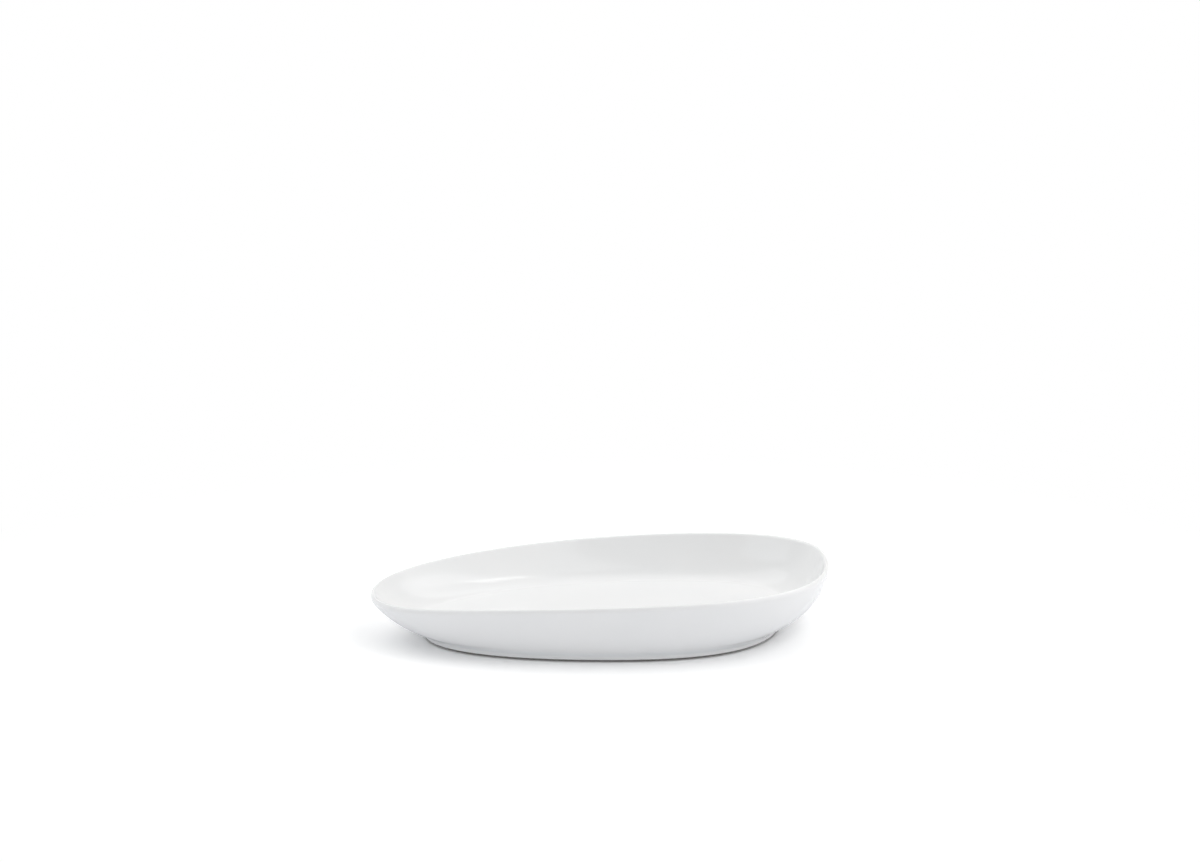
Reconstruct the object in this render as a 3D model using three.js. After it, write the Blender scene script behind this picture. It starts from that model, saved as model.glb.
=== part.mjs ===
// Oval serving plate in white glazed porcelain: a pebble-shaped coupe plate on a foot ring.
// Millimetres, +Z up. The origin is on the table under the middle of the plate, +X runs to the
// broad, high end and +Y to the side with the long shoulder.
import * as THREE from "three";

// Rim outline, seen from above
const plateLength = 280;
const plateWidth = 170;
const farPeakX = 44; // where the +Y side stands furthest out
const nearPeakX = 16; // where the -Y side stands furthest out
const narrowTipY = -16; // where the -X end stands furthest out
const broadTipY = 19; // where the +X end stands furthest out

// Rim: it climbs from the narrow end to the broad end, with a slight crown between them, and dips
// where the -Y side runs into the narrow end
const narrowRimHeight = 28.6;
const broadRimHeight = 39;
const rimCrown = 1.9;
const rimDip = 1.9;
const rimDipX = -125;
const rimDipY = -48;
const rimDipReach = 30;
const lipThickness = 2.8;
const lipRise = 2.2; // height of the rounding over the lip

// Foot ring: how far its outer edge lies inside the rim, and its section
const footHeight = 4.6;
const footInsetNarrow = 31.5;
const footInsetBroad = 29.4;
const footInsetNear = 11.6;
const footInsetFar = 13.8;
const footNearPeakX = 5; // where its -Y side stands furthest out
const footTaper = 0.3; // run of each flank
const footEdge = 1.2; // height of the worn edge on both sides of the face that the plate stands on
const footEdgeRun = 2; // how far that edge runs in under the foot
const footFace = 2.6; // width of the face
const recessHeight = 4; // underside of the well above the table
const recessFillet = 2;

// Well: its floor, and how far the edge of the flat part lies inside the rim
const floorThickness = 6;
const floorInsetNarrow = 31.5;
const floorInsetBroad = 29;
const floorInsetNear = 18;
const floorInsetFar = 19;

// Glaze: thickness of the coat, and height of the foot that is wiped bare
const glazeThickness = 0.3;
const bareBand = 1.4;

// Fullness of the four quarters of an outline: each quarter leaves its first extreme point and
// reaches its second one along the plate's axes, with handles of these shares of its span
const broadToFar = { leave: 0.4, reach: 0.94 };
const farToNarrow = { leave: 0.51, reach: 0.57 };
const narrowToNear = { leave: 0.9, reach: 0.31 };
const nearToBroad = { leave: 0.35, reach: 0.95 };

// Section of the wall from the lip down, in shares of its run and its drop. It leaves the lip with
// a lean, along a handle of this drop, and comes in at its foot with a rise, along a handle of this
// run. It is straight round the narrow end and along the sides, and full round the broad end.
const innerSection = {
  narrow: { lean: 0.45, drop: 0.4, rise: 0, run: 0.42 },
  broad: { lean: 0.36, drop: 0.45, rise: 0, run: 0.46 },
  sides: { lean: 0.55, drop: 0.42, rise: 0, run: 0.5 },
};
const outerSection = {
  narrow: { lean: 0.42, drop: 0.35, rise: 0.2, run: 0.4 },
  broad: { lean: 0.24, drop: 0.56, rise: 0.36, run: 0.58 },
  sides: { lean: 0.7, drop: 0.45, rise: 0.4, run: 0.45 },
};

// Crease between the outside wall and the foot: the wall is followed for this share of its curve,
// and a hollow takes over from there down to this share of the foot's flank
const creaseStart = 0.88;
const creaseEnd = 0.45;

// Fineness of the surface
const stepsPerQuarter = 16;
const wallSteps = 8;
const lipSteps = 5;
const filletSteps = 2;

const quarterTurn = Math.PI / 2;
const mix = THREE.MathUtils.lerp;

// An outline that lies inside the rim by its own distance at each end and side. All of them run
// through four extreme points in the same order, so they pair up point by point.
function outline(inset) {
  const broad = plateLength / 2 - inset.broad;
  const narrow = inset.narrow - plateLength / 2;
  const far = plateWidth / 2 - inset.far;
  const near = inset.near - plateWidth / 2;
  const nearPeak = inset.nearPeak;
  const path = new THREE.Path();
  path.moveTo(broad, broadTipY);
  path.bezierCurveTo(
    broad, mix(broadTipY, far, broadToFar.leave),
    mix(farPeakX, broad, broadToFar.reach), far,
    farPeakX, far,
  );
  path.bezierCurveTo(
    mix(farPeakX, narrow, farToNarrow.leave), far,
    narrow, mix(narrowTipY, far, farToNarrow.reach),
    narrow, narrowTipY,
  );
  path.bezierCurveTo(
    narrow, mix(narrowTipY, near, narrowToNear.leave),
    mix(nearPeak, narrow, narrowToNear.reach), near,
    nearPeak, near,
  );
  path.bezierCurveTo(
    mix(nearPeak, broad, nearToBroad.leave), near,
    broad, mix(broadTipY, near, nearToBroad.reach),
    broad, broadTipY,
  );
  return path.getPoints(stepsPerQuarter).slice(0, -1);
}

// An inset with the same distance added all round
function deepen(inset, distance) {
  return {
    ...inset,
    narrow: inset.narrow + distance,
    broad: inset.broad + distance,
    near: inset.near + distance,
    far: inset.far + distance,
  };
}

// A level ring of the surface, part of the way from one outline to another
function levelRing(from, to, share, height) {
  return from.map((start, column) => {
    const flat = start.clone().lerp(to[column], share);
    return new THREE.Vector3(flat.x, flat.y, height);
  });
}

const level = (points, height) => levelRing(points, points, 0, height);

// A level disc from an outline to its middle, without the outline itself
function discRings(points, height) {
  const middle = points.map(() => new THREE.Vector2());
  return [
    levelRing(points, middle, 0.5, height),
    [new THREE.Vector3(0, 0, height)],
  ];
}

const atRim = { narrow: 0, broad: 0, near: 0, far: 0, nearPeak: nearPeakX };
const atFoot = {
  narrow: footInsetNarrow,
  broad: footInsetBroad,
  near: footInsetNear,
  far: footInsetFar,
  nearPeak: footNearPeakX,
};
const atFloor = {
  narrow: floorInsetNarrow,
  broad: floorInsetBroad,
  near: floorInsetNear,
  far: floorInsetFar,
  nearPeak: nearPeakX,
};
const rim = outline(atRim);
const lipInside = outline(deepen(atRim, lipThickness));
const footTop = outline(atFoot);
const floorEdge = outline(atFloor);
const floorHeight = recessHeight + floorThickness;

// Place of each column of points along the plate, from -1 at the narrow tip to 1 at the broad tip
const along = rim.map((point) => point.x / (plateLength / 2));

// Height at which the rounded lip springs from the wall, column by column
const lipSpring = rim.map((point, column) => {
  const place = along[column];
  const slope = mix(narrowRimHeight, broadRimHeight, (1 + place) / 2);
  const away = Math.hypot(point.x - rimDipX, point.y - rimDipY) / rimDipReach;
  const dip = rimDip * Math.exp(-(away ** 2) / 2);
  return slope + rimCrown * (1 - place ** 2) - dip - lipRise;
});

// Section of the wall at one column: x is the share of its run, y the share of its drop
function sectionAt(section, column) {
  const place = along[column];
  const end = place < 0 ? section.narrow : section.broad;
  const here = (key) => mix(section.sides[key], end[key], place ** 2);
  return new THREE.CubicBezierCurve(
    new THREE.Vector2(0, 0),
    new THREE.Vector2(here("lean") * here("drop"), here("drop")),
    new THREE.Vector2(1 - here("run"), 1 - here("run") * here("rise")),
    new THREE.Vector2(1, 1),
  );
}

// Angle round the lip at which a wall leaves it, column by column
function leans(top, bottom, bottomHeight, section) {
  return top.map((start, column) => {
    const run = start.distanceTo(bottom[column]);
    const drop = lipSpring[column] - bottomHeight;
    const first = sectionAt(section, column).v1;
    return Math.atan2(first.x * run * lipRise, (first.y * drop * lipThickness) / 2);
  });
}

const innerLean = leans(lipInside, floorEdge, floorHeight, innerSection);
const outerLean = leans(rim, footTop, footHeight, outerSection);

// Rings over the lip, which is rounded from the lean of the inner wall to that of the outer wall
function lipRings() {
  const rings = [];
  for (let step = 0; step <= lipSteps; step += 1) {
    rings.push(lipInside.map((start, column) => {
      const last = 2 * quarterTurn + outerLean[column];
      const angle = mix(innerLean[column], last, step / lipSteps);
      const flat = start.clone().lerp(rim[column], (1 - Math.cos(angle)) / 2);
      return new THREE.Vector3(flat.x, flat.y, lipSpring[column] + Math.sin(angle) * lipRise);
    }));
  }
  return rings;
}

// Rings of a wall below the lip, down to a share of its section
function wallRings(top, bottom, section, end) {
  const rings = [];
  for (let step = 1; step <= wallSteps; step += 1) {
    rings.push(top.map((start, column) => {
      const share = sectionAt(section, column).getPoint((end * step) / wallSteps);
      const flat = start.clone().lerp(bottom[column], share.x);
      flat.z = mix(start.z, bottom[column].z, share.y);
      return flat;
    }));
  }
  return rings;
}

// Ring half way round a hollow from one ring to another, with a corner between them
function hollowRing(from, corner, to) {
  return from.map((start, column) =>
    new THREE.QuadraticBezierCurve3(start, corner[column], to[column]).getPoint(0.5));
}

// Rings of the foot and of the sunk underside. Both flanks lean towards the face that the plate
// stands on, and the band that is wiped bare ends at the same height on both.
const faceStart = deepen(atFoot, footTaper + footEdgeRun);
const faceEnd = deepen(faceStart, footFace);
const recessStart = deepen(faceEnd, footEdgeRun + footTaper);
const outerFoot = outline(deepen(atFoot, footTaper));
const innerFoot = outline(deepen(faceEnd, footEdgeRun));
const flankTop = recessHeight - recessFillet;

function flankRing(bottom, top, topHeight) {
  const share = (bareBand - footEdge) / (topHeight - footEdge);
  return levelRing(bottom, top, share, bareBand);
}

// The hollow under the outside wall
function creaseRings(wall) {
  const corner = level(footTop, footHeight);
  const end = levelRing(footTop, outerFoot, creaseEnd, mix(footHeight, footEdge, creaseEnd));
  return [hollowRing(wall, corner, end), end];
}

function recessRings() {
  const rings = [];
  for (let step = 0; step <= filletSteps; step += 1) {
    const angle = (step / filletSteps) * quarterTurn;
    const run = recessFillet * (1 - Math.cos(angle));
    const rise = recessFillet * Math.sin(angle);
    rings.push(level(outline(deepen(recessStart, run)), flankTop + rise));
  }
  const inside = outline(deepen(recessStart, recessFillet));
  return [...rings, ...discRings(inside, recessHeight)];
}

// The finished surface: the glazed top and outside, the bare foot, the glazed underside
const lip = lipRings();
const innerWall = wallRings(lip[0], level(floorEdge, floorHeight), innerSection, 1);
const outerWall = wallRings(lip.at(-1), level(footTop, footHeight), outerSection, creaseStart);
const topRings = [
  ...discRings(floorEdge, floorHeight).reverse(),
  ...innerWall.reverse(),
  ...lip,
  ...outerWall,
  ...creaseRings(outerWall.at(-1)),
  flankRing(outerFoot, footTop, footHeight),
];
const bareRings = [
  level(outerFoot, footEdge),
  level(outline(faceStart), 0),
  level(outline(faceEnd), 0),
  level(innerFoot, footEdge),
];
const lowerRings = [
  flankRing(innerFoot, outline(recessStart), flankTop),
  ...recessRings(),
];

// A closed surface through rings listed from its upper pole outwards and back to its lower pole.
// Each four-sided patch is split along its shorter diagonal, so that two surfaces through the same
// rings match face for face, whichever way they run.
function closedSurface(rings) {
  const points = rings.flat();
  const index = [];
  let first = 0;
  for (let r = 0; r + 1 < rings.length; r += 1) {
    const here = rings[r].length;
    const next = rings[r + 1].length;
    for (let c = 0; c < rim.length; c += 1) {
      const a = first + (c % here);
      const b = first + ((c + 1) % here);
      const d = first + here + (c % next);
      const e = first + here + ((c + 1) % next);
      const alongAE = points[a].distanceTo(points[e]) <= points[b].distanceTo(points[d]);
      if (here === 1) index.push(a, d, e);
      else if (next === 1) index.push(a, d, b);
      else if (alongAE) index.push(a, e, b, a, d, e);
      else index.push(a, d, b, b, d, e);
    }
    first += here;
  }
  return new THREE.BufferGeometry().setFromPoints(points).setIndex(index);
}

// The same rings, moved into the body by the thickness of the glaze
function underGlaze(rings) {
  const surface = closedSurface(rings);
  surface.computeVertexNormals();
  const normals = surface.getAttribute("normal");
  let vertex = 0;
  return rings.map((points) =>
    points.map((point) => {
      const outward = new THREE.Vector3().fromBufferAttribute(normals, vertex);
      vertex += 1;
      return point.clone().addScaledVector(outward, -glazeThickness);
    }));
}

// The body lies under the glaze, and comes out to the surface from one glaze line to the other.
// Each coat of glaze runs out to nothing at its line.
const surfaceRings = [...topRings, ...bareRings, ...lowerRings];
const sunkRings = underGlaze(surfaceRings);
const topGlazeLine = topRings.length - 1;
const lowerGlazeLine = surfaceRings.length - lowerRings.length;
const bodyRings = surfaceRings.map((points, r) => {
  const bare = r >= topGlazeLine && r <= lowerGlazeLine;
  return bare ? points : sunkRings[r];
});
const underTopCoat = bodyRings.slice(0, topGlazeLine);
const overLowerCoat = bodyRings.slice(lowerGlazeLine + 1);

const porcelain = { color: 0xd4d0ca, roughness: 0.7, metalness: 0 };
const glaze = { color: 0xf3f5f5, roughness: 0.1, metalness: 0 };

function piece(name, rings, finish) {
  const mesh = new THREE.Mesh(closedSurface(rings), new THREE.MeshStandardMaterial(finish));
  mesh.name = name;
  return mesh;
}

const plate = new THREE.Group();
plate.name = "oval_plate";
plate.add(
  piece("porcelain_body", bodyRings, porcelain),
  piece("glaze_coat", [...topRings, ...underTopCoat.reverse()], glaze),
  piece("underside_glaze", [...overLowerCoat.reverse(), ...lowerRings], glaze),
);

export default plate;
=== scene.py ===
import math

import bpy
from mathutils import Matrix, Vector


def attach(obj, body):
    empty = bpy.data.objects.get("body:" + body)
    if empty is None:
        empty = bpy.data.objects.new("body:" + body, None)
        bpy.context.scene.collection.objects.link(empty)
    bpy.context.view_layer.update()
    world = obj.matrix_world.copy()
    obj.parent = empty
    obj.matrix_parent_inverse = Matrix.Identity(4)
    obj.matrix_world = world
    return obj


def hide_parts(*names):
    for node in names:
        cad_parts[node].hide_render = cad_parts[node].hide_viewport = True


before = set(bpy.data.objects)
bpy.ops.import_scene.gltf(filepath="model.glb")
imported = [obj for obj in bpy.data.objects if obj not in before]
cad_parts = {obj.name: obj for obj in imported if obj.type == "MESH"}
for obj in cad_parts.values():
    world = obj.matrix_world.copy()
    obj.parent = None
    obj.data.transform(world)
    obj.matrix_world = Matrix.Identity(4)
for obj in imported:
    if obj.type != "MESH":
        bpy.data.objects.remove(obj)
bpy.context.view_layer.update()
scene = bpy.context.scene
scene.view_settings.view_transform = "Standard"
mm = 0.001
print("frame loaded:", len(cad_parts), "solids")


# One output of a node tree. Sums of wires become Math nodes, and put makes any other node.
class Wire:
    def __init__(self, tree, socket=None):
        self.tree = tree
        self.socket = socket

    def put(self, kind, settings=None, sockets=None, out=0):
        node = self.tree.nodes.new(kind)
        for name, value in (settings or {}).items():
            setattr(node, name, value)
        for name, value in (sockets or {}).items():
            for entry in value if isinstance(value, list) else [value]:
                if isinstance(entry, Wire):
                    self.tree.links.new(entry.socket, node.inputs[name])
                else:
                    node.inputs[name].default_value = entry
        return Wire(self.tree, node.outputs[out]) if node.outputs else None

    def other(self, name):                   # another output of the same node
        return Wire(self.tree, self.socket.node.outputs[name])

    def of(self, operation, second=0.0, first=None):
        first = self if first is None else first
        return self.put("ShaderNodeMath", {"operation": operation}, {0: first, 1: second})

    def __add__(self, other):
        return self.of("ADD", other)

    def __radd__(self, other):
        return self.of("ADD", self, other)

    def __sub__(self, other):
        return self.of("SUBTRACT", other)

    def __rsub__(self, other):
        return self.of("SUBTRACT", self, other)

    def __mul__(self, other):
        return self.of("MULTIPLY", other)

    def __rmul__(self, other):
        return self.of("MULTIPLY", self, other)

    def __truediv__(self, other):
        return self.of("DIVIDE", other)

    def __rtruediv__(self, other):
        return self.of("DIVIDE", self, other)

    def __pow__(self, other):
        return self.of("POWER", other)

    def __mod__(self, other):
        return self.of("FLOORED_MODULO", other)


def between(first, second, share):
    return first + (second - first) * share


# The plate in millimetres, with the outlines, heights and sections of the solids
plate = {
    "length": 280, "width": 170,
    "tips": {"broad": 19, "narrow": -16},    # where the ends stand furthest out, across
    "peaks": {"far": 44, "near": 16},        # where the sides stand furthest out, along
    "fullness": [(0.4, 0.94), (0.51, 0.57), (0.9, 0.31), (0.35, 0.95)],
    "floorInset": {"narrow": 31.5, "broad": 29, "near": 18, "far": 19},
    "footInset": {"narrow": 31.5, "broad": 29.4, "near": 11.6, "far": 13.8},
    "footPeak": 5,                           # the foot's own peak on the near side
    "sizes": {
        "Half Length": 140, "Narrow Rim Height": 28.6, "Broad Rim Height": 39, "Rim Crown": 1.9,
        "Rim Dip": 1.9, "Rim Dip Reach": 30, "Lip Roll": 3.2, "Lip Rise": 2.2, "Floor Height": 10,
        "Foot Height": 4.6, "Recess Height": 4, "Recess Depth": 9.2, "Glaze Thickness": 0.3,
    },
    "rimDip": (-125, -48, 0),
    "lipInset": {"narrow": 2.8, "broad": 3.6, "near": 2.8, "far": 3.3},
    # lean and drop of the handle at the lip, rise and run of the handle at the bottom
    "walls": {
        "Inner Narrow": (0.45, 0.4, 0, 0.42), "Inner Broad": (0.36, 0.45, 0, 0.46),
        "Inner Sides": (0.55, 0.42, 0, 0.5), "Outer Narrow": (0.42, 0.35, 0.2, 0.4),
        "Outer Broad": (0.24, 0.56, 0.36, 0.58), "Outer Sides": (0.7, 0.45, 0.4, 0.45),
    },
    "columnsPerQuarter": 56,
    "weld": 0.004,                           # points closer than this are one
}


def outlineCurve(name, inset, nearPeak):
    half = plate["length"] / 2, plate["width"] / 2
    tips, peaks = plate["tips"], plate["peaks"]
    points = [
        Vector((half[0] - inset["broad"], tips["broad"], 0)),
        Vector((peaks["far"], half[1] - inset["far"], 0)),
        Vector((inset["narrow"] - half[0], tips["narrow"], 0)),
        Vector((nearPeak, inset["near"] - half[1], 0)),
    ]
    data = bpy.data.curves.new(name, "CURVE")
    data.dimensions = "3D"
    data.resolution_u = plate["columnsPerQuarter"]
    spline = data.splines.new("BEZIER")
    spline.bezier_points.add(3)
    spline.use_cyclic_u = True
    for i, knot in enumerate(spline.bezier_points):
        knot.handle_left_type = knot.handle_right_type = "FREE"
        run = Vector((i % 2, 1 - i % 2, 0))  # the ends run across, the sides along
        leave, reach = plate["fullness"][i][0], plate["fullness"][i - 1][1]
        toNext, toLast = points[(i + 1) % 4] - points[i], points[i - 1] - points[i]
        knot.co = points[i] * mm
        knot.handle_right = (points[i] + run * toNext.dot(run) * leave) * mm
        knot.handle_left = (points[i] + run * toLast.dot(run) * reach) * mm
    curve = bpy.data.objects.new(name, data)
    scene.collection.objects.link(curve)
    return curve


def deeper(inset, distance):
    return {side: value + distance for side, value in inset.items()}


atRim = {"narrow": 0, "broad": 0, "near": 0, "far": 0}
atRecess = deeper(plate["footInset"], plate["sizes"]["Recess Depth"])
outlines = {
    "Rim": outlineCurve("rimOutline", atRim, plate["peaks"]["near"]),
    "Lip Inside": outlineCurve("lipOutline", plate["lipInset"], plate["peaks"]["near"]),
    "Floor Edge": outlineCurve("floorOutline", plate["floorInset"], plate["peaks"]["near"]),
    "Foot": outlineCurve("footOutline", plate["footInset"], plate["footPeak"]),
    "Recess": outlineCurve("recessOutline", atRecess, plate["footPeak"]),
}
print("outlines drawn:", ", ".join(outlines))

# Foot section: inset from the foot's top edge and height of each point, in millimetres.
# A middle point rounds the corner between the other two.
foot = {
    "creaseStart": 0.88,                     # share of the outside wall above the crease
    "crease": [(0.062, 3.9), (0.135, 3.07)],  # and on, in a hollow, into the flank
    "outerFlank": [(0.135, 3.07), (0.282, 1.4)],
    "bare": [
        [(0.282, 1.4), (0.3, 1.2)],
        [(0.3, 1.2), (1.1, 0.6), (2.3, 0)],
        [(2.3, 0), (4.9, 0)],
        [(4.9, 0), (6.1, 0.6), (6.9, 1.2)],
        [(6.9, 1.2), (6.975, 1.4)],
    ],
    "innerFlank": [(6.975, 1.4), (7.1, 1.73)],
    "recessCorner": [(7.1, 1.73), (7.95, 4), (10, 4)],
}
steps = {"floor": 12, "wall": 44, "lip": 16, "crease": 10, "flank": 4, "corner": 8, "underside": 10}
# How thick the glaze looks along the section, as a share of an even coat
coats = {"floor": 1.0, "wallTop": 0.75, "lip": 0.25, "flank": 1.1, "creasePool": 0.5, "line": 0.3,
         "cornerPool": 0.4, "underside": 1.0}


def plateInputs(piece, finish):
    values = {name: value * mm for name, value in plate["sizes"].items()}
    values["Rim Dip Place"] = Vector(plate["rimDip"]) * mm
    for name, (lean, drop, rise, run) in plate["walls"].items():
        values[name + " Top"] = Vector((lean * drop, drop, 0))
        values[name + " Bottom"] = Vector((1 - run, 1 - run * rise, 0))
    values.update(outlines)
    values["Columns"] = plate["columnsPerQuarter"] * 4
    values["Piece"] = piece                  # 0 body, 1 glaze above, 2 glaze below
    values["Finish"] = finish
    return values


def plateTree(finish):
    group = bpy.data.node_groups.new("platePieces", "GeometryNodeTree")
    tree = Wire(group)
    kinds = {float: "Float", int: "Int", Vector: "Vector",
             bpy.types.Object: "Object", bpy.types.Material: "Material"}
    identifiers = {}
    for name, value in plateInputs(0, finish).items():
        kind = "NodeSocket" + kinds[type(value)]
        item = group.interface.new_socket(name=name, in_out="INPUT", socket_type=kind)
        identifiers[name] = item.identifier
    group.interface.new_socket(name="Geometry", in_out="OUTPUT", socket_type="NodeSocketGeometry")
    entry = tree.put("NodeGroupInput")
    given = {name: entry.other(name) for name in identifiers}

    # Every patch is a grid: its columns run round the plate, its share runs along the section
    place = tree.put("GeometryNodeInputPosition")
    across = tree.put("ShaderNodeSeparateXYZ", {}, {0: place})
    column = (across + given["Columns"] / 2).of("ROUND") % given["Columns"]
    share = across.other("Y") + 0.5

    def on(name):
        drawn = tree.put("GeometryNodeObjectInfo", {}, {"Object": given[name]}, "Geometry")
        points = tree.put("GeometryNodeCurveToPoints", {"mode": "EVALUATED"}, {"Curve": drawn})
        return tree.put("GeometryNodeSampleIndex", {"data_type": "FLOAT_VECTOR", "domain": "POINT"},
                        {"Geometry": points, "Value": place, "Index": column})

    def blend(first, second, amount):
        return tree.put("ShaderNodeMix", {"data_type": "VECTOR", "clamp_factor": False},
                        {0: amount, 4: first, 5: second}, 1)

    def bezier(points, amount):
        while len(points) > 1:
            points = [blend(a, b, amount) for a, b in zip(points, points[1:])]
        return points[0]

    def vectors(operation, first, second, out=0):
        return tree.put("ShaderNodeVectorMath", {"operation": operation}, {0: first, 1: second}, out)

    def raised(flat, height):
        return vectors("ADD", flat, tree.put("ShaderNodeCombineXYZ", {}, {2: height}))

    # Rim heights: a slope with a crown, and a dip near the narrow end
    ring = {name: on(name) for name in outlines}
    along = tree.put("ShaderNodeSeparateXYZ", {}, {0: ring["Rim"]}) / given["Half Length"]
    crown = given["Rim Crown"] * (1 - along * along)
    slope = between(given["Narrow Rim Height"], given["Broad Rim Height"], (1 + along) / 2)
    away = vectors("DISTANCE", ring["Rim"], given["Rim Dip Place"], "Value") / given["Rim Dip Reach"]
    dip = given["Rim Dip"] * (away * away * -0.5).of("EXPONENT")
    rim = slope + crown - dip

    # Walls: a curve in shares of run and drop, between the lip and an outline
    def handles(wall):
        ends = []
        for handle in (" Top", " Bottom"):
            end = blend(given[wall + " Narrow" + handle], given[wall + " Broad" + handle],
                        along.of("GREATER_THAN", 0.0))
            ends.append(blend(given[wall + " Sides" + handle], end, along * along))
        return [(0, 0, 0), *ends, (1, 1, 0)]

    def lean(curve, top, bottom, height, rise):
        first = tree.put("ShaderNodeSeparateXYZ", {}, {0: curve[1]})
        run = vectors("DISTANCE", ring[top], ring[bottom], "Value")
        drop = first.other("Y") * (rim - rise - height) * lipWidth / 2
        return (first * run * rise).of("ARCTAN2", drop)

    # the lip is an ellipse in two halves: a slow roll inside, a quicker one outside
    def lipAt(angle):
        flat = blend(ring["Lip Inside"], ring["Rim"], (1 - angle.of("COSINE")) / 2)
        rise = between(given["Lip Roll"], given["Lip Rise"], angle.of("GREATER_THAN", math.pi / 2))
        return raised(flat, rim - rise * (1 - angle.of("SINE")))

    def wallAt(shares, top, bottom):
        run = tree.put("ShaderNodeSeparateXYZ", {}, {0: shares})
        amount = tree.put("ShaderNodeCombineXYZ", {}, {0: run, 1: run, 2: run.other("Y")})
        return tree.put("ShaderNodeMix", {"data_type": "VECTOR", "factor_mode": "NON_UNIFORM"},
                        {1: amount, 4: top, 5: bottom}, 1)

    def footPoint(inset, height):
        flat = blend(ring["Foot"], ring["Recess"], inset * mm / given["Recess Depth"])
        return raised(flat, height * mm)

    def footBend(points):
        return bezier([footPoint(*point) for point in points], share)

    inner, outer = handles("Inner"), handles("Outer")
    lipWidth = vectors("DISTANCE", ring["Rim"], ring["Lip Inside"], "Value")
    innerLean = lean(inner, "Lip Inside", "Floor Edge", given["Floor Height"], given["Lip Roll"])
    outerLean = lean(outer, "Rim", "Foot", given["Foot Height"], given["Lip Rise"]) + math.pi
    lipAngle = between(innerLean, outerLean, share)
    floorEdge = raised(ring["Floor Edge"], given["Floor Height"])
    outside = lipAt(outerLean), raised(ring["Foot"], given["Foot Height"])
    start = foot["creaseStart"]
    crease = [wallAt(bezier(outer, start), *outside)]
    crease.append(wallAt(blend(bezier(outer[1:3], start), bezier(outer[2:], start), start), *outside))
    crease += [footPoint(*point) for point in foot["crease"]]

    def patch(rings, position, zone, depth, sink=1.0):
        grid = tree.put("GeometryNodeMeshGrid", {}, {
            "Size X": given["Columns"], "Size Y": 1.0,
            "Vertices X": given["Columns"] + 1, "Vertices Y": rings + 1})
        # sink and depth are read off the flat grid, before it takes its shape
        stored = ("sink", sink, "POINT"), ("glazeDepth", depth, "POINT"), ("zone", zone, "FACE")
        for name, value, domain in stored:
            grid = tree.put("GeometryNodeStoreNamedAttribute", {"data_type": "FLOAT", "domain": domain},
                            {"Geometry": grid, "Name": name, "Value": value})
        return tree.put("GeometryNodeSetPosition", {}, {"Geometry": grid, "Position": position})

    swell = (share * math.pi).of("SINE")
    middle = tree.put("ShaderNodeCombineXYZ")
    well = blend(raised(middle, given["Floor Height"]), floorEdge, share)
    inside = wallAt(bezier(inner, 1 - share), lipAt(innerLean), floorEdge)
    recessEdge = footPoint(foot["recessCorner"][-1][0], 0)
    underside = raised(blend(recessEdge, middle, share), given["Recess Height"])

    def coating(first, second):
        return between(coats[first], coats[second], share)

    bare, upper, lower = 0, 1, 2             # zones: no glaze, glaze above and glaze below
    patches = [
        patch(steps["floor"], well, upper, coats["floor"]),
        patch(steps["wall"], inside, upper, coating("floor", "wallTop")),
        patch(steps["lip"], lipAt(lipAngle), upper, between(coats["wallTop"], coats["lip"], swell)),
        patch(steps["wall"], wallAt(bezier(outer, share * start), *outside), upper,
              coating("wallTop", "flank")),
        patch(steps["crease"], bezier(crease, share), upper, coats["flank"] + swell * coats["creasePool"]),
        patch(steps["flank"], footBend(foot["outerFlank"]), upper, coating("flank", "line"), 1 - share),
    ]
    patches += [patch(steps["flank"], footBend(points), bare, coats["line"], 0.0) for points in foot["bare"]]
    patches += [
        patch(steps["flank"], footBend(foot["innerFlank"]), lower, coating("line", "flank"), share),
        patch(steps["corner"], footBend(foot["recessCorner"]), lower,
              coats["flank"] + swell * coats["cornerPool"]),
        patch(steps["underside"], underside, lower, coating("flank", "underside")),
    ]

    def welded(parts):
        joined = tree.put("GeometryNodeJoinGeometry", {}, {"Geometry": parts})
        return tree.put("GeometryNodeMergeByDistance", {},
                        {"Geometry": joined, "Distance": plate["weld"] * mm})

    # One closed skin, and the same skin sunk into the body by the thickness of the glaze
    skin = tree.put("GeometryNodeFlipFaces", {}, {"Mesh": welded(patches)})
    sinkBy = tree.put("GeometryNodeInputNamedAttribute", {"data_type": "FLOAT"}, {"Name": "sink"})
    normal = tree.put("GeometryNodeInputNormal")
    inwards = tree.put("ShaderNodeVectorMath", {"operation": "SCALE"},
                       {0: normal, "Scale": sinkBy * given["Glaze Thickness"] * -1})
    sunk = tree.put("GeometryNodeSetPosition", {}, {"Geometry": skin, "Offset": inwards})

    def coat(zone):
        zoneHere = tree.put("GeometryNodeInputNamedAttribute", {"data_type": "FLOAT"}, {"Name": "zone"})
        chosen = (zoneHere - zone).of("ABSOLUTE").of("LESS_THAN", 0.5)
        top, bottom = [tree.put("GeometryNodeSeparateGeometry", {"domain": "FACE"},
                                {"Geometry": side, "Selection": chosen}) for side in (skin, sunk)]
        return welded([top, tree.put("GeometryNodeFlipFaces", {}, {"Mesh": bottom})])

    # the body is the sunk skin, and each coat fills the gap above it
    def switched(number, before, after):
        return tree.put("GeometryNodeSwitch", {"input_type": "GEOMETRY"}, {
            "Switch": given["Piece"].of("GREATER_THAN", number - 0.5), "False": before, "True": after})

    choice = switched(1, sunk, switched(2, coat(upper), coat(lower)))
    for name in ("sink", "zone"):
        choice = tree.put("GeometryNodeRemoveAttribute", {}, {"Geometry": choice, "Name": name})
    smooth = tree.put("GeometryNodeSetShadeSmooth", {}, {"Geometry": choice})
    real = tree.put("GeometryNodeRealizeInstances", {}, {"Geometry": smooth})
    done = tree.put("GeometryNodeSetMaterial", {}, {"Geometry": real, "Material": given["Finish"]})
    tree.put("NodeGroupOutput", {}, {0: done})
    return group, identifiers


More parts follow.
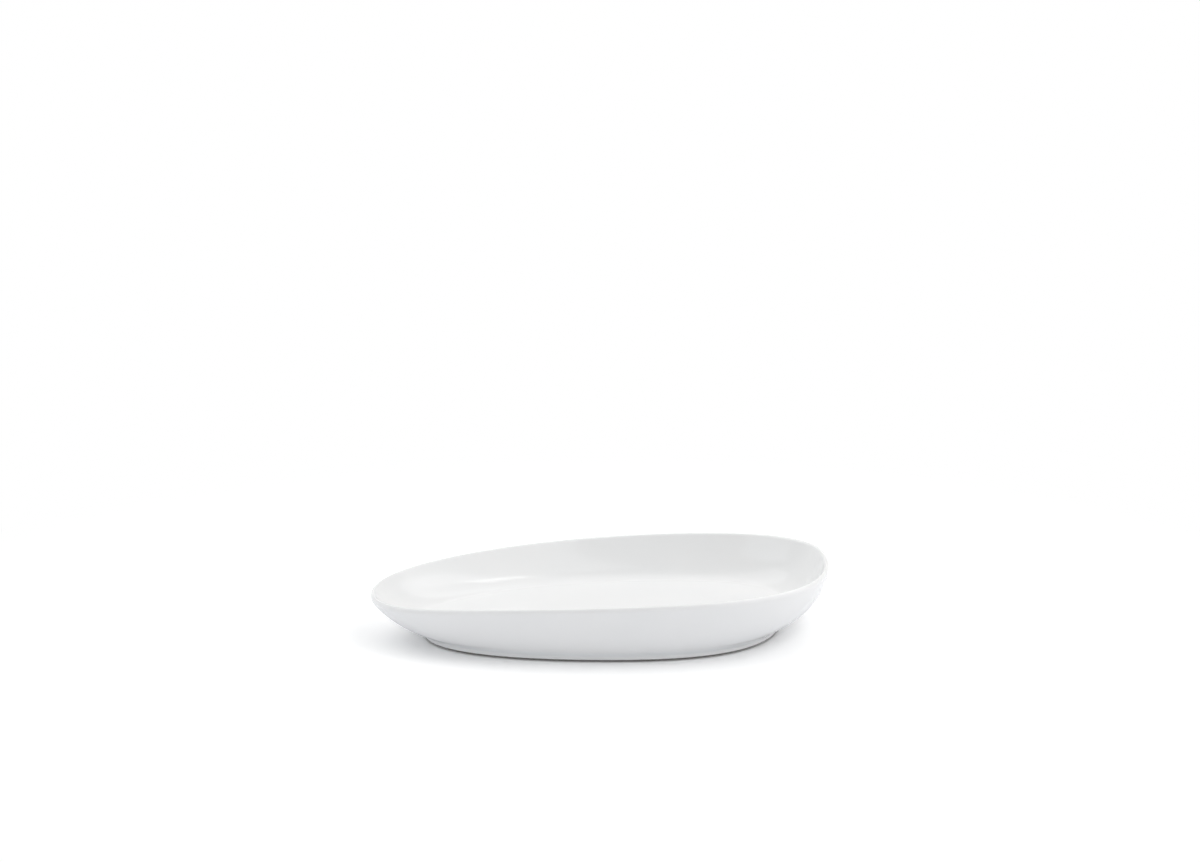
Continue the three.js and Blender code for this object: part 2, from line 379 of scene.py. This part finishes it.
# Finishes: all patterns lie on Object coordinates or on the glaze's own depth
def newMaterial(name):
    material = bpy.data.materials.new(name)
    material.use_nodes = True
    material.node_tree.nodes.clear()
    return material, Wire(material.node_tree)


def noise(tree, size, detail=2.0, roughness=0.5):
    where = tree.put("ShaderNodeTexCoord", {}, {}, "Object")
    return tree.put("ShaderNodeTexNoise", {}, {
        "Vector": where, "Scale": 1 / (size * mm), "Detail": detail, "Roughness": roughness})


def stepUp(value, low, high):
    return value.put("ShaderNodeMapRange", {"interpolation_type": "SMOOTHSTEP"},
                     {"Value": value, "From Min": low, "From Max": high})


def colourMix(amount, first, second):
    return amount.put("ShaderNodeMix", {"data_type": "RGBA"}, {0: amount, 6: first, 7: second}, 2)


def finishWith(tree, sockets):
    shader = tree.put("ShaderNodeBsdfPrincipled", {}, sockets)
    tree.put("ShaderNodeOutputMaterial", {}, {"Surface": shader})


glazeLook = {
    "colour": (0.872, 0.872, 0.868, 1), "cloud": (0.86, 0.863, 0.862, 1),
    "thin": (0.878, 0.874, 0.866, 1),        # body showing through over the lip
    "pooled": (0.83, 0.845, 0.85, 1),        # thick glaze, faintly blue
    "speck": (0.20, 0.18, 0.16, 1),
    "cloudSize": 60, "cloudFrom": 0.35, "cloudTo": 0.7,                    # sizes in millimetres
    "thinBelow": 0.6, "pooledAbove": 1.15, "depthGain": 1.6,
    "speckCell": 34, "speckRadius": 0.008, "specksAbove": 0.5, "speckStrength": 0.7,
    "roughness": 0.055, "dullSize": 9, "dull": 0.03, "thinDull": 0.1, "ior": 1.46,
    "ripple": 7, "rippleHeight": 0.012, "sway": 45, "swayHeight": 0.05,
}


def glazeFinish(name, look, uneven=1.0):
    material, tree = newMaterial(name)
    depth = tree.put("ShaderNodeAttribute", {"attribute_name": "glazeDepth"}, {}, "Fac")
    cloud = stepUp(noise(tree, look["cloudSize"]), look["cloudFrom"], look["cloudTo"])
    thin = ((look["thinBelow"] - depth) * look["depthGain"]).of("MAXIMUM", 0.0)
    pooled = ((depth - look["pooledAbove"]) * look["depthGain"]).of("MAXIMUM", 0.0)
    colour = colourMix(cloud, look["colour"], look["cloud"])
    colour = colourMix(thin, colour, look["thin"])
    colour = colourMix(pooled, colour, look["pooled"])
    # a few pin specks, each in a cell of its own
    where = tree.put("ShaderNodeTexCoord", {}, {}, "Object")
    spot = tree.put("ShaderNodeTexVoronoi", {},
                    {"Vector": where, "Scale": 1 / (look["speckCell"] * mm)}, "Distance")
    cell = tree.put("ShaderNodeSeparateColor", {}, {"Color": spot.other("Color")})
    speck = spot.of("LESS_THAN", look["speckRadius"]) * cell.of("GREATER_THAN", look["specksAbove"])
    colour = colourMix(speck * look["speckStrength"], colour, look["speck"])
    dull = noise(tree, look["dullSize"], detail=4) * look["dull"] * uneven
    rough = look["roughness"] + dull + thin * look["thinDull"]
    height = noise(tree, look["ripple"], detail=1) * look["rippleHeight"] * mm * uneven
    height = height + noise(tree, look["sway"], detail=0) * look["swayHeight"] * mm * uneven
    bump = tree.put("ShaderNodeBump", {}, {"Strength": 1.0, "Distance": 1.0, "Height": height}, "Normal")
    finishWith(tree, {"Base Color": colour, "Roughness": rough, "Normal": bump, "IOR": look["ior"]})
    return material


biscuitLook = {
    "colour": (0.70, 0.67, 0.63, 1), "grain": (0.60, 0.57, 0.53, 1), "rub": (0.45, 0.44, 0.43, 1),
    "grainSize": 0.35, "grainHeight": 0.02,  # millimetres
    "rubSize": 14, "rubFrom": 0.52, "rubTo": 0.72, "rubStrength": 0.55,
    # painted shade: a near-black colour for the lowest rounded foot edges, standing for the contact shadow
    # under the foot
    "paintedShade": (0.14, 0.135, 0.13, 1), "paintedShadeFrom": 0.1, "paintedShadeTo": 0.5, "paintedShadeGaps": 0.3,
    "roughness": 0.62, "grainDull": 0.2, "rubShine": 0.12, "bumpStrength": 0.8,
}


def biscuitFinish(look):
    material, tree = newMaterial("bareBiscuit")
    grain = noise(tree, look["grainSize"], detail=3, roughness=0.65)
    worn = noise(tree, look["rubSize"], detail=6, roughness=0.7)
    rub = stepUp(worn, look["rubFrom"], look["rubTo"]) * look["rubStrength"]
    colour = colourMix(rub, colourMix(grain, look["colour"], look["grain"]), look["rub"])
    # painted shade: the rounded foot edges within half a millimetre of the floor, inner edge too, are
    # darkened to stand for the contact shadow in the gap under the foot; the face it stands on keeps the bare
    # colour
    where = tree.put("ShaderNodeTexCoord", {}, {}, "Object")
    above = tree.put("ShaderNodeSeparateXYZ", {}, {0: where}, "Z")
    contactShadeBand = stepUp(above, look["paintedShadeFrom"] * mm, look["paintedShadeTo"] * mm)
    colour = colourMix(contactShadeBand * (1 - grain * look["paintedShadeGaps"]), colour, look["paintedShade"])
    rough = look["roughness"] + grain * look["grainDull"] - rub * look["rubShine"]
    height = grain * look["grainHeight"] * mm
    bump = tree.put("ShaderNodeBump", {},
                    {"Strength": look["bumpStrength"], "Distance": 1.0, "Height": height}, "Normal")
    finishWith(tree, {"Base Color": colour, "Roughness": rough, "Normal": bump})
    return material


underLook = dict(glazeLook, colour=(0.845, 0.85, 0.848, 1), cloud=(0.82, 0.83, 0.83, 1))
underUneven = 1.6
underGlaze = glazeFinish("undersideWhiteGlaze", underLook, underUneven)
# piece: its number in the tree, finish, the solid it replaces and its slot
finishes = {
    "platePorcelain": (0, biscuitFinish(biscuitLook), "porcelain_body", "bare_porcelain"),
    "plateGlaze": (1, glazeFinish("whiteGlaze", glazeLook), "glaze_coat", "white_glaze"),
    "undersideGlaze": (2, underGlaze, "underside_glaze", "underside_white_glaze"),
}
print("finishes made:", len(finishes))
plateGroup, identifiers = plateTree(finishes["plateGlaze"][1])
print("plate tree built:", len(plateGroup.nodes), "nodes")


def platePiece(name, number, finish):
    piece = bpy.data.objects.new(name, bpy.data.meshes.new(name))
    scene.collection.objects.link(piece)
    modifier = piece.modifiers.new("pieces", "NODES")
    modifier.node_group = plateGroup
    for key, value in plateInputs(number, finish).items():
        modifier[identifiers[key]] = value
    depsgraph = bpy.context.evaluated_depsgraph_get()
    shaped = piece.evaluated_get(depsgraph)
    mesh = bpy.data.meshes.new_from_object(shaped, preserve_all_data_layers=True, depsgraph=depsgraph)
    piece.modifiers.remove(modifier)
    piece.data = mesh
    mesh.name = name
    uses = {}
    for polygon in mesh.polygons:
        for edge in polygon.edge_keys:
            uses[edge] = uses.get(edge, 0) + 1
    openEdges = sum(1 for count in uses.values() if count != 2)
    print(name, "has", len(mesh.polygons), "faces and", openEdges, "open edges")
    return piece


for name, (number, finish, node, slot) in finishes.items():
    piece = platePiece(name, number, finish)
    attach(piece, "root")
    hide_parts(node)
for curve in outlines.values():
    bpy.data.objects.remove(curve)

# Studio: a pale floor that runs out to white, walls that glow softly on some sides, and lamps
studio = {
    "floorColour": (0.955, 0.96, 0.98, 1), "floorSeen": (1.12, 1.12, 1.12, 1),
    "floorHalf": 4.0, "floorDrop": 0.05,     # metres, and millimetres below the foot
    "keepShade": 0.22, "fadeTo": 0.5,        # the floor runs out to white between these, in metres
    "white": (1, 1, 1, 1),
    "glows": [                               # direction, level and sharpness
        ((-0.75, 0.63, 0.21), 1.42, 4), ((0.49, 0.85, 0.21), 0.84, 4), ((-0.41, -0.89, 0.21), 0.46, 4),
    ],
    "reflected": 0.88,                       # the walls as reflections show them, beside a seen white of 1
    "lamps": {
        "overhead": {"at": (0, 0.25, 1.2), "size": (2.8, 1.36), "watts": 14.7, "tint": (1, 1, 1)},
        "rightBox": {"at": (0.979, -0.436, 0.644), "size": (1.9, 1.46), "watts": 10.0, "tint": (1, 1, 1)},
        "leftBox": {"at": (-0.983, -0.614, 0.468), "size": (1.3, 0.7), "watts": 2.9, "tint": (0.93, 0.97, 1)},
        "strip": {"at": (0.574, -0.209, 1.148), "size": (0.4, 0.16), "watts": 0.65, "tint": (1, 1, 1)},
    },
}


def seenDirectly(tree):
    path = tree.put("ShaderNodeLightPath", {}, {}, "Is Camera Ray")
    rays = path + path.other("Is Glossy Ray") + path.other("Is Transmission Ray")
    return rays.of("MINIMUM", 1.0)


def makeFloor():
    half, low = studio["floorHalf"], -studio["floorDrop"] * mm
    mesh = bpy.data.meshes.new("studioFloor")
    corners = [(-half, -half), (half, -half), (half, half), (-half, half)]
    mesh.from_pydata([(x, y, low) for x, y in corners], [], [(0, 1, 2, 3)])
    floor = bpy.data.objects.new("studioFloor", mesh)
    scene.collection.objects.link(floor)
    material, tree = newMaterial("paleFloor")
    where = tree.put("ShaderNodeTexCoord", {}, {}, "Object")
    far = tree.put("ShaderNodeVectorMath", {"operation": "LENGTH"}, {0: where}, "Value")
    fade = stepUp(far, studio["keepShade"], studio["fadeTo"]) * seenDirectly(tree)
    fromCamera = tree.put("ShaderNodeLightPath", {}, {}, "Is Camera Ray")
    colour = colourMix(fromCamera, studio["floorColour"], studio["floorSeen"])
    near = tree.put("ShaderNodeBsdfDiffuse", {}, {"Color": colour})
    white = tree.put("ShaderNodeEmission", {}, {"Strength": 1.0})
    both = tree.put("ShaderNodeMixShader", {}, {0: fade, 1: near, 2: white})
    tree.put("ShaderNodeOutputMaterial", {}, {"Surface": both})
    mesh.materials.append(material)


def makeWorld():
    world = bpy.data.worlds.new("studioWorld")
    world.use_nodes = True
    world.node_tree.nodes.clear()
    scene.world = world
    tree = Wire(world.node_tree)
    towards = tree.put("ShaderNodeTexCoord", {}, {}, "Generated")
    level = 0.0
    for direction, amount, sharpness in studio["glows"]:
        facing = tree.put("ShaderNodeVectorMath", {"operation": "DOT_PRODUCT"},
                          {0: towards, 1: Vector(direction).normalized()}, "Value")
        level = level + facing.of("MAXIMUM", 0.0) ** sharpness * amount
    soft = tree.put("ShaderNodeBackground", {}, {"Color": studio["white"], "Strength": level})
    glossy = tree.put("ShaderNodeLightPath", {}, {}, "Is Glossy Ray")
    white = tree.put("ShaderNodeBackground", {}, {
        "Color": studio["white"], "Strength": 1 - glossy * (1 - studio["reflected"])})
    both = tree.put("ShaderNodeMixShader", {}, {0: seenDirectly(tree), 1: soft, 2: white})
    tree.put("ShaderNodeOutputWorld", {}, {"Surface": both})


def makeLamps():
    for name, lamp in studio["lamps"].items():
        data = bpy.data.lights.new(name, "AREA")
        data.shape = "RECTANGLE"
        data.size, data.size_y = lamp["size"]
        data.energy = lamp["watts"]
        data.color = lamp["tint"]
        light = bpy.data.objects.new(name, data)
        light.location = lamp["at"]
        light.rotation_euler = (-Vector(lamp["at"])).to_track_quat("-Z", "Y").to_euler()
        scene.collection.objects.link(light)


makeFloor()
makeWorld()
makeLamps()
print("studio lit with", len(studio["lamps"]), "lamps")

# Camera: where the low view was taken from, tilted so that the plate sits low in the frame
view = {"at": (-0.01143, -1.1766, 0.35884), "tilt": 78.626, "turn": -0.477, "lens": 59.67}
cameraData = bpy.data.cameras.new("lowView")
cameraData.lens = view["lens"]
cameraData.sensor_width = 36
camera = bpy.data.objects.new("lowView", cameraData)
camera.location = view["at"]
camera.rotation_euler = (math.radians(view["tilt"]), 0, math.radians(view["turn"]))
scene.collection.objects.link(camera)
scene.camera = camera
print("camera set")
